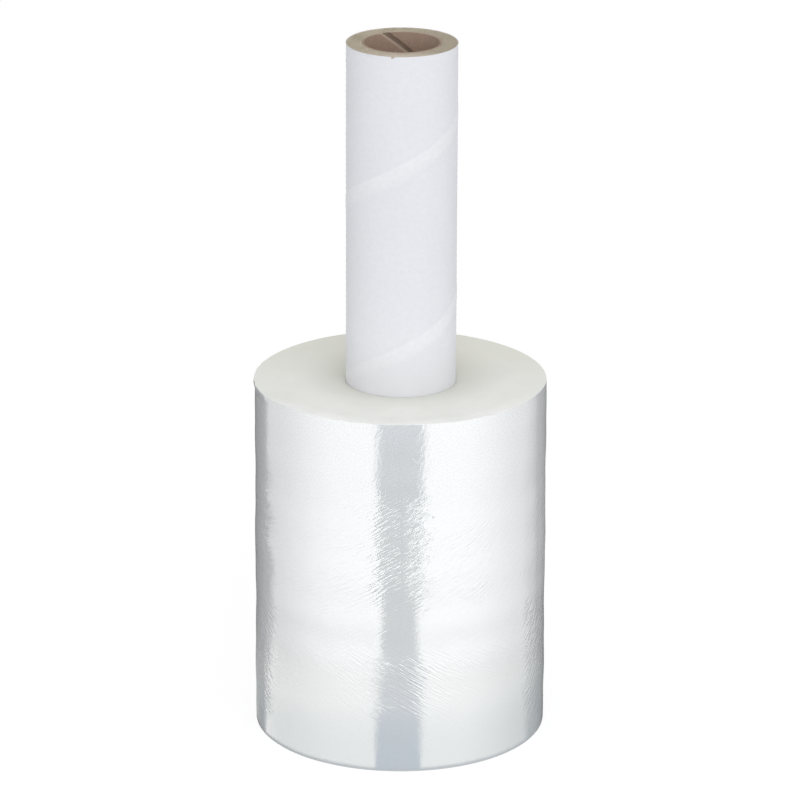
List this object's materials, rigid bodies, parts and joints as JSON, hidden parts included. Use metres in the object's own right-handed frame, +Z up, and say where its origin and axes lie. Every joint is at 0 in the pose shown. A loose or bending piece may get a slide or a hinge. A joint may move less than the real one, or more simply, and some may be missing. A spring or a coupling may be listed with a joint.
{
  "type": "stretch wrap hand roll",
  "caption": "Roll of clear stretch film wound on a spiral paper core that extends above it as a handle.",
  "frame": {"origin": "centre of the film's foot face, on which the roll stands", "axes": "+Z up along the core, from the film's foot face to the handle's rim; -Y towards the camera of the picture"},
  "size_m": [0.1025, 0.1026, 0.248],
  "materials": {
    "kraft_liner": "raw kraft paper, brown grey",
    "core_board": "raw chipboard, cut ends",
    "white_paper": "smooth white paper, uncoated",
    "stretch_film": "clear film wound solid, milky white and glossy"
  },
  "bodies": {
    "root": {"kraft_liner": "kraft_liner", "board_tube": "core_board", "white_paper": "white_paper", "film_roll": "stretch_film"}
  },
  "joints": []
}
